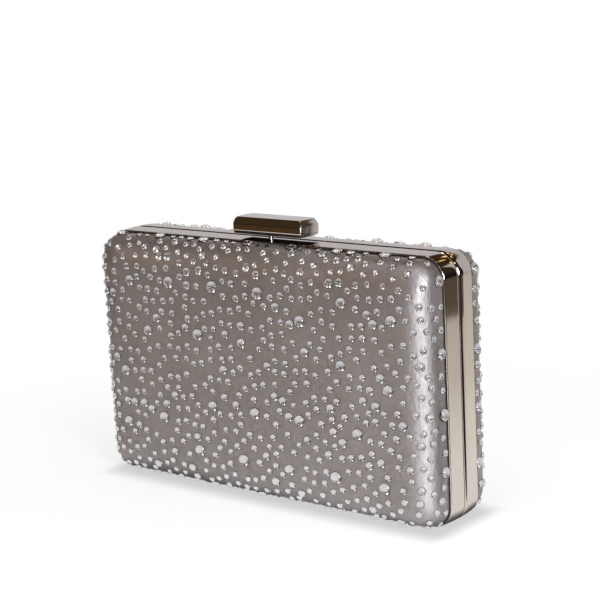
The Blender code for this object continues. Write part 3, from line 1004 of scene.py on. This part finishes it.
def makeCrystals(word, side, tree):
    # the field is the cover's outside from just past the band to the middle
    rings = paddedRings(side, 0.0, skinShape["layers"]["cover"][2])
    bm = bmesh.new()
    loops = loftRings(bm, rings[crystalShape["firstRing"]:])
    closeMiddle(bm, loops[-1])
    bmesh.ops.recalc_face_normals(bm, faces=bm.faces)
    bm.faces.ensure_lookup_table()
    if bm.faces[-1].normal.y * side < 0:
        bmesh.ops.reverse_faces(bm, faces=bm.faces)
    piece = meshFrom(word + "_crystals", bm, closed=False)
    step = piece.modifiers.new("crystals", "NODES")
    step.node_group = tree
    values = {**crystalShape["inputs"], "Seed": crystalShape["seed"][word]}
    for item in tree.interface.items_tree:
        if item.in_out == "INPUT" and item.name in values:
            step[item.identifier] = values[item.name]
    applyModifiers(piece)
    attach(piece, word + "_half")
    print(word, "crystals:", len(piece.data.polygons), "faces")


stonePattern = makeStone()
crystalTree = makeCrystalTree(stonePattern)
for word, side in (("front", -1), ("rear", 1)):
    makeCrystals(word, side, crystalTree)
bpy.data.objects.remove(stonePattern)
print("crystals set")


# clasp bar: a bevelled ingot with slightly bulging ends

barLow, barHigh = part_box("clasp_bar")
barShape = {
    "underInset": 0.3 * mm,
    "underHeight": 1.85 * mm,
    "sideHeight": 2.2 * mm,
    "bevelInset": 1.3 * mm,
    "endBevelInset": 2.0 * mm,
    "edgeRadius": 0.28 * mm,
    "endBulge": 0.6 * mm,
    # height of the painted shade low on the long sides
    "shadeHeight": 1.25 * mm,
    "cornerRadius": 0.7 * mm,
    "cornerSteps": 5,
    "endSteps": 10,
    "sideSteps": 6,
    "edgeSteps": 4,
    "bevelShares": (0.3, 0.5, 0.65, 0.78, 0.87),
    "sideLean": (0.25, 0.5),
    "innerRing": 1.2 * mm,
    "cornerTaper": 0.15,
    "leastRadius": 0.3 * mm,
    # how steeply a face looks down for the painted shade underneath, along Y for the painted shade
    # low on the sides, and along X for the duller ends
    "facing": {"under": -0.99, "side": 0.5, "end": 0.55},
    "holeLength": 8.0 * mm,
}
barShoulder = barLow.z + barShape["underHeight"]


def barRing(inset, height):
    # long sides straight, ends bowed outwards and rolled over at the top, corners rounded
    bevelStart = barShoulder + barShape["sideHeight"]
    rise = max(0.0, height - bevelStart)
    climb = min(1.0, rise / (barHigh.z - bevelStart))
    rolled = barShape["endBevelInset"] * (1 - math.sqrt(max(0.0, 1 - climb * climb)))
    endInset = inset if rise == 0 else rolled + max(0.0, inset - barShape["bevelInset"])
    halfLength = (barHigh.x - barLow.x) / 2 - endInset
    halfDepth = (barHigh.y - barLow.y) / 2 - inset
    tapered = barShape["cornerRadius"] - inset * barShape["cornerTaper"]
    radius = max(tapered, barShape["leastRadius"])
    centreY = (barHigh.y + barLow.y) / 2
    bulge = barShape["endBulge"]
    steps = barShape["endSteps"]
    ring = []
    for corner in range(4):
        right = 1 if corner in (0, 3) else -1
        rear = 1 if corner in (0, 1) else -1
        x, reach = right * (halfLength - radius), halfDepth - radius
        ring += arcPoints((x, rear * reach), radius, 90 * corner, barShape["cornerSteps"])
        if corner in (1, 3):
            for step in range(1, steps):
                share = 1 - 2 * step / steps
                bowed = halfLength + bulge * (1 - share * share)
                ring.append((right * bowed, rear * reach * share))
    return [Vector((x, y + centreY, height)) for x, y in ring]


def barProfile():
    # inset against height, with each edge of the section a small arc
    bottom, under = barLow.z, barShape["underInset"]
    leanInset, leanHeight = barShape["sideLean"]
    corners = [
        (under + barShape["innerRing"], bottom),
        (under, bottom),
        (leanInset * under, bottom + leanHeight * barShape["underHeight"]),
        (0.0, barShoulder + barShape["sideHeight"]),
        (barShape["bevelInset"], barHigh.z),
        (barShape["bevelInset"] + barShape["innerRing"], barHigh.z),
    ]
    points = [corners[0]]
    for number, (before, corner, after) in enumerate(zip(corners, corners[1:], corners[2:])):
        here = Vector(corner)
        if number == 1:
            # the side curves in a little towards the underside
            foot = bottom + barShape["edgeRadius"]
            for step in range(1, barShape["sideSteps"] + 1):
                share = step / barShape["sideSteps"]
                points.append((under * (1 - share) ** 2, foot + (barShoulder - foot) * share))
            continue
        inward = (Vector(before) - here).normalized() * barShape["edgeRadius"]
        onward = (Vector(after) - here).normalized() * barShape["edgeRadius"]
        for step in range(barShape["edgeSteps"] + 1):
            share = step / barShape["edgeSteps"]
            points.append(tuple(here + inward * (1 - share) ** 2 + onward * share ** 2))
        if number == 2:
            # the bevel is flat along the bar, and its extra rings let the ends roll over
            points += [tuple(here.lerp(Vector(after), share)) for share in barShape["bevelShares"]]
    points.append(corners[-1])
    return points


def makeBar():
    rings = [barRing(inset, height) for inset, height in barProfile()]
    piece = loftSolid("clasp_bar_polished", rings)
    stem = (0, middleOf("latch_slider").y, barLow.z)
    holeRadius, holeLength = frameShape["stemHoleRadius"], barShape["holeLength"]
    cutAway(piece, [roundCutter(holeRadius, holeLength, stem, (0, 0, 1))])
    smoothShading(piece, sharpAngle=40)
    lowShade, dull = metals["tarnishedSeam"], metals["softNickel"]
    paint(piece, metals["brightNickel"], rawUnderside, lowShade, dull)
    # the ends are polished less, and painted shade darkens the underside and the low part of the
    # long sides
    shadeTop, facing = barLow.z + barShape["shadeHeight"], barShape["facing"]
    for polygon in piece.data.polygons:
        if polygon.normal.z < facing["under"]:
            polygon.material_index = 1
        elif polygon.center.z < shadeTop and abs(polygon.normal.y) > facing["side"]:
            polygon.material_index = 2
        elif abs(polygon.normal.x) > facing["end"]:
            polygon.material_index = 3
    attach(piece, "clasp")
    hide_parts("clasp_bar")


# painted shade: near-black matte underside, so the band beneath the bar mirrors it dark
rawUnderside = grainMaterial(
    "rawUnderside", 1500.0, ((0.016, 0.015, 0.014), (0.030, 0.028, 0.026)),
    {"Roughness": 0.8, "Specular IOR Level": 0.1}, bump=0.05 * mm,
)
makeBar()
print("clasp bar made")


# return spring: a coil of round wire at rest; the press that shortens it is not modelled

springShape = {
    "wire": 0.25 * mm,
    "turns": 5,
    "turnSteps": 24,
    "wireSides": 10,
    "travel": 1.1 * mm,
}


def makeSpring():
    low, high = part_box("return_spring")
    wire = springShape["wire"]
    centre = (low + high) / 2
    radius = (high.x - low.x) / 2 - wire
    climb = high.z - low.z - 2 * wire
    steps = springShape["turns"] * springShape["turnSteps"]
    sides = springShape["wireSides"]
    turns = [math.tau * side / sides for side in range(sides)]
    rings = []
    pitch = climb / (math.tau * radius * springShape["turns"])
    for step in range(steps + 1):
        angle = math.tau * step / springShape["turnSteps"]
        outward = Vector((math.cos(angle), math.sin(angle), 0))
        onward = Vector((-math.sin(angle), math.cos(angle), pitch))
        upward = outward.cross(onward.normalized())
        height = low.z + wire + climb * step / steps
        place = Vector((centre.x, centre.y, height)) + outward * radius
        rings.append([
            place + (outward * math.cos(turn) + upward * math.sin(turn)) * wire for turn in turns
        ])
    piece = loftSolid("return_spring_coil", rings)
    smoothShading(piece, sharpAngle=60, weighted=False)
    paint(piece, metals["springSteel"])
    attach(piece, "front_half")
    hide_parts("return_spring")
    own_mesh(piece)


makeSpring()
print("return spring made")


# fittings that keep their solids and take a finish

fittingFinish = {
    "hinge_knuckle": "hingeNickel",
    "hinge_pin": "springSteel",
    "clasp_housing": "castZinc",
    "latch_slider": "latchMetal",
    "catch_hook": "springSteel",
    "housing_screw": "springSteel",
    "catch_rivet": "springSteel",
}
for nodeName, node in frame["nodes"].items():
    for start, finish in fittingFinish.items():
        if nodeName.startswith(start):
            paint(node, metals[finish])
print("fittings finished")


# floor, light and surroundings, in metres and degrees

studio = {
    "floorRadius": 1.5,
    "tableRadius": 0.445,
    "tableEdge": 0.010,
    "tableWhite": (0.93, 0.93, 0.93),
    "tableBeige": ((0.705, 0.66, 0.597), (0.59, 0.547, 0.495)),
    "beigeSlope": 0.65,
    "tableBrown": ((0.080, 0.042, 0.018), (0.118, 0.091, 0.064)),
    "cardStart": 0.11,
    "cardSlopes": (0.62, 1.2),
    "cardEdge": 0.006,
    "cardTone": (0.018, 0.014, 0.013),
    "underShadowTone": (0.10, 0.10, 0.105),
    "stoneTableCentre": (0.10, -0.05, 0.0),
    "stoneTableRadius": 0.52,
    "stoneTableEdge": 0.02,
    "stoneTable": ((0.80, 0.785, 0.80), (0.38, 0.37, 0.38)),
    "stoneRoom": (0.13, 0.125, 0.13),
    "stoneRoomRight": (0.16, 0.155, 0.16),
    "backdropStart": 0.09,
    "backdropSlope": 0.60,
    "backdropTone": (0.58, 0.56, 0.58),
    "roomWalls": ((0.010, 0.008, 0.008), (0.044, 0.028, 0.013)),
    "ambientTone": (0.62, 0.6107, 0.6014),
    "sparkScale": 6.0,
    "sparkSize": 0.25,
    "sparkTones": ((9.0, 6.0, 2.2), (6.0, 8.0, 9.5)),
    "white": (1.0, 1.0, 1.0),
    "coreShare": 0.6,
    # direction, half angle in degrees and light of the lamps that only mirrors show
    "roomLamps": (
        ((-0.35, -0.45, 0.85), 8.0, (6.0, 5.2, 4.2)),
        ((0.30, 0.10, 0.95), 6.0, (5.0, 3.4, 1.4)),
        ((0.55, -0.55, 0.62), 4.0, (9.0, 9.0, 9.2)),
        ((-0.75, -0.25, 0.55), 5.0, (2.0, 2.6, 3.6)),
        ((-0.10, 0.55, 0.80), 7.0, (4.0, 2.7, 1.1)),
        ((0.30, 0.81, 0.50), 2.6, (1.6, 0.95, 0.32)),
        ((-0.08, 0.80, 0.58), 3.2, (1.8, 1.1, 0.40)),
        ((0.12, 0.76, 0.64), 2.2, (1.4, 0.8, 0.25)),
    ),
}
# azimuth, elevation, distance, width and height, power, colour
studioLamps = {
    "keyLamp": (59.0, 12.0, 0.74, (0.42, 0.21), 4.9, (0.90, 0.945, 1.0)),
    # in the key lamp's middle, it draws the narrow line in the satin's stripe
    "stripLamp": (59.0, 12.0, 0.74, (0.06, 0.34), 2.3, (0.90, 0.945, 1.0)),
    "overheadLamp": (-20.0, 74.0, 1.2, (0.9, 0.9), 3.6, (1.0, 1.0, 1.0)),
    # a warm glow from the upper left
    "warmLamp": (-36.0, 29.0, 0.9, (0.7, 0.6), 0.66, (1.0, 0.74, 0.38)),
}
lampAim = (0.0, 0.0, 0.055)


# where each change of tone begins and ends, and its values there unless they are 0 and 1
ramps = {
    "far": (0.0, 0.30),
    "right": (0.07, 0.10),
    "pastBackdrop": (0.0, 0.015),
    "inFront": (0.0, 0.05, 1.0, 0.0),
    "rear": (-0.05, 0.10),
    "underAcross": (0.086, 0.096, 1.0, 0.0),
    "underAlong": (0.014, 0.030, 1.0, 0.0),
    "white": (0.06, 0.28, 0.6, 1.0),
    "stoneFar": (0.03, 0.36),
    "behind": (0.16, 0.24),
    "notHigh": (0.47, 0.54, 1.0, 0.0),
    "notRight": (0.0, 0.04, 1.0, 0.0),
    "wallHeight": (0.02, 0.30),
    "stoneRight": (0.1, 0.6),
    "sparkHue": (0.35, 0.65),
}


def makeFloor():
    bm = bmesh.new()
    bmesh.ops.create_grid(bm, x_segments=1, y_segments=1, size=studio["floorRadius"])
    floor = meshFrom("floor", bm, closed=False)
    material, tree, shader, position = newMaterial("paleTable")
    ramp, mix = partial(mapRange, tree), partial(mixColour, tree)
    plus, minus, times, most = sums(tree)
    paths = tree.nodes.new("ShaderNodeLightPath").outputs
    axes = axesOf(tree, position)
    distance = vectorSum(tree, "DISTANCE", position)
    # a ray that left a stone counts as glossy too, so it is taken off the metal's
    inStone = paths["Is Transmission Ray"]
    glossy = minus(paths["Is Glossy Ray"], inStone, clamp=True)
    # in the metal the table turns beige with distance, and brown past its edge
    away = times(glossy, ramp(distance, *ramps["far"], smooth=False))
    leftward = minus(axes["X"], times(axes["Y"], studio["beigeSlope"]))
    beige = mix(ramp(leftward, *ramps["right"]), *studio["tableBeige"])
    near = mix(away, studio["tableWhite"], beige)
    radius, edge = studio["tableRadius"], studio["tableEdge"]
    pastEdge = times(ramp(distance, radius - edge, radius + edge), glossy)
    slanted = times(axes["Y"], studio["backdropSlope"])
    sideways = minus(minus(axes["X"], studio["backdropStart"]), slanted)
    inFront = ramp(axes["Y"], *ramps["inFront"])
    besideBackdrop = most(ramp(sideways, *ramps["pastBackdrop"]), inFront)
    browns = mix(ramp(axes["Y"], *ramps["rear"]), *studio["tableBrown"])
    tone = mix(times(pastEdge, besideBackdrop), near, browns)
    # a black card on the right gives the metal its dark lines
    beyond = minus(axes["X"], studio["cardStart"])
    rearSide = minus(times(beyond, studio["cardSlopes"][0]), axes["Y"])
    frontSide = plus(axes["Y"], times(beyond, studio["cardSlopes"][1]))
    edge = studio["cardEdge"]
    card = times(ramp(rearSide, 0.0, edge), ramp(frontSide, 0.0, edge))
    carded = mix(times(card, glossy), tone, studio["cardTone"])
    # painted shadow: under the bag the floor's colour is darker, where no light gets in
    across, along = (mathNode(tree, "ABSOLUTE", axes[label]) for label in ("X", "Y"))
    under = times(ramp(across, *ramps["underAcross"]), ramp(along, *ramps["underAlong"]))
    setInputs(tree, shader, {
        "Base Color": mix(under, carded, studio["underShadowTone"]),
        "Roughness": 0.9,
        "Specular IOR Level": 0.0,
    })
    # away from the bag the camera sees plain white, and the shadow stays near it
    whiteShare = times(ramp(distance, *ramps["white"]), paths["Is Camera Ray"])
    # the stones see a wider table, further to the right and evenly lit
    aside = vectorSum(tree, "DISTANCE", position, studio["stoneTableCentre"])
    radius, edge = studio["stoneTableRadius"], studio["stoneTableEdge"]
    stoneTable = mix(ramp(distance, *ramps["stoneFar"], smooth=False), *studio["stoneTable"])
    stoneTable = mix(ramp(aside, radius - edge, radius + edge), stoneTable, studio["stoneRoom"])
    seen = shader.outputs[0]
    for share, colour in ((whiteShare, studio["white"]), (inStone, stoneTable)):
        light = addNode(tree, "ShaderNodeEmission", {"Color": colour}).outputs[0]
        seen = addNode(tree, "ShaderNodeMixShader", {0: share, 1: seen, 2: light}).outputs[0]
    setInputs(tree, tree.nodes["Material Output"], {"Surface": seen})
    paint(floor, material)


def makeWorld():
    # the camera sees white, metal and glass see a lit backdrop in a brown room
    world = bpy.data.worlds.new("studioWorld")
    world.use_nodes = True
    bpy.context.scene.world = world
    tree = world.node_tree
    ramp, mix = partial(mapRange, tree), partial(mixColour, tree)
    _, minus, times, most = sums(tree)
    paths = tree.nodes.new("ShaderNodeLightPath").outputs
    direction = tree.nodes.new("ShaderNodeTexCoord").outputs["Generated"]
    axes = axesOf(tree, direction)
    # the backdrop stands behind, and ends a little to the right, where the room begins
    behind, notHigh = ramp(axes["Y"], *ramps["behind"]), ramp(axes["Z"], *ramps["notHigh"])
    sideways = minus(axes["X"], times(axes["Y"], studio["backdropSlope"]))
    backdrop = times(times(behind, notHigh), ramp(sideways, *ramps["notRight"]))
    walls = mix(ramp(axes["Z"], *ramps["wallHeight"]), *studio["roomWalls"])
    colour = mix(backdrop, walls, studio["backdropTone"])
    for aim, size, light in studio["roomLamps"]:
        facing = vectorSum(tree, "DOT_PRODUCT", direction, Vector(aim).normalized())
        edge, core = (math.cos(math.radians(size * share)) for share in (1.0, studio["coreShare"]))
        colour = mix(ramp(facing, edge, core), colour, light)

    # the stones gather light from all round, so what they show of the room is lighter
    rightward = ramp(axes["X"], *ramps["stoneRight"])
    stoneWalls = mix(rightward, studio["stoneRoom"], studio["stoneRoomRight"])
    lifted = mix(1.0, colour, stoneWalls, "LIGHTEN")
    inputs = {"Vector": direction, "Scale": studio["sparkScale"]}
    cells = addNode(tree, "ShaderNodeTexVoronoi", inputs).outputs
    hue = ramp(axesOf(tree, cells["Color"])["X"], *ramps["sparkHue"])
    size = studio["sparkSize"]
    spots = ramp(cells["Distance"], size * studio["coreShare"], size, 1.0, 0.0)
    sparks = mix(spots, lifted, mix(hue, *studio["sparkTones"]))
    inStone = mix(paths["Is Transmission Ray"], colour, sparks)
    mirrored = most(paths["Is Glossy Ray"], paths["Is Transmission Ray"])
    diffuse = mix(mirrored, studio["ambientTone"], inStone)
    setInputs(tree, tree.nodes["Background"], {
        "Color": mix(paths["Is Camera Ray"], diffuse, studio["white"]),
        "Strength": 1.0,
    })


def makeLamp(name, azimuth, elevation, distance, size, power, colour):
    back = directionFrom(azimuth, elevation)
    data = bpy.data.lights.new(name, "AREA")
    data.shape = "ELLIPSE"
    data.size, data.size_y = size
    data.energy = power
    data.color = colour
    lamp = newObject(name, data)
    lamp.location = Vector(lampAim) + back * distance
    lamp.rotation_mode = "QUATERNION"
    lamp.rotation_quaternion = (-back).to_track_quat("-Z", "Y")
    lamp.visible_transmission = False
    return lamp


makeFloor()
makeWorld()
lamps = {name: makeLamp(name, *values) for name, values in studioLamps.items()}
lamps["overheadLamp"].visible_glossy = False
# the warm lamp reaches the satin only, since the bar mirrors a dark room there
satinOnly = bpy.data.collections.new("satinOnly")
for side in ("front", "rear"):
    satinOnly.objects.link(bpy.data.objects[side + "_cover_satin"])
lamps["warmLamp"].light_linking.receiver_collection = satinOnly
bpy.context.scene.view_settings.view_transform = "Standard"
print("floor, world and lamps ready")
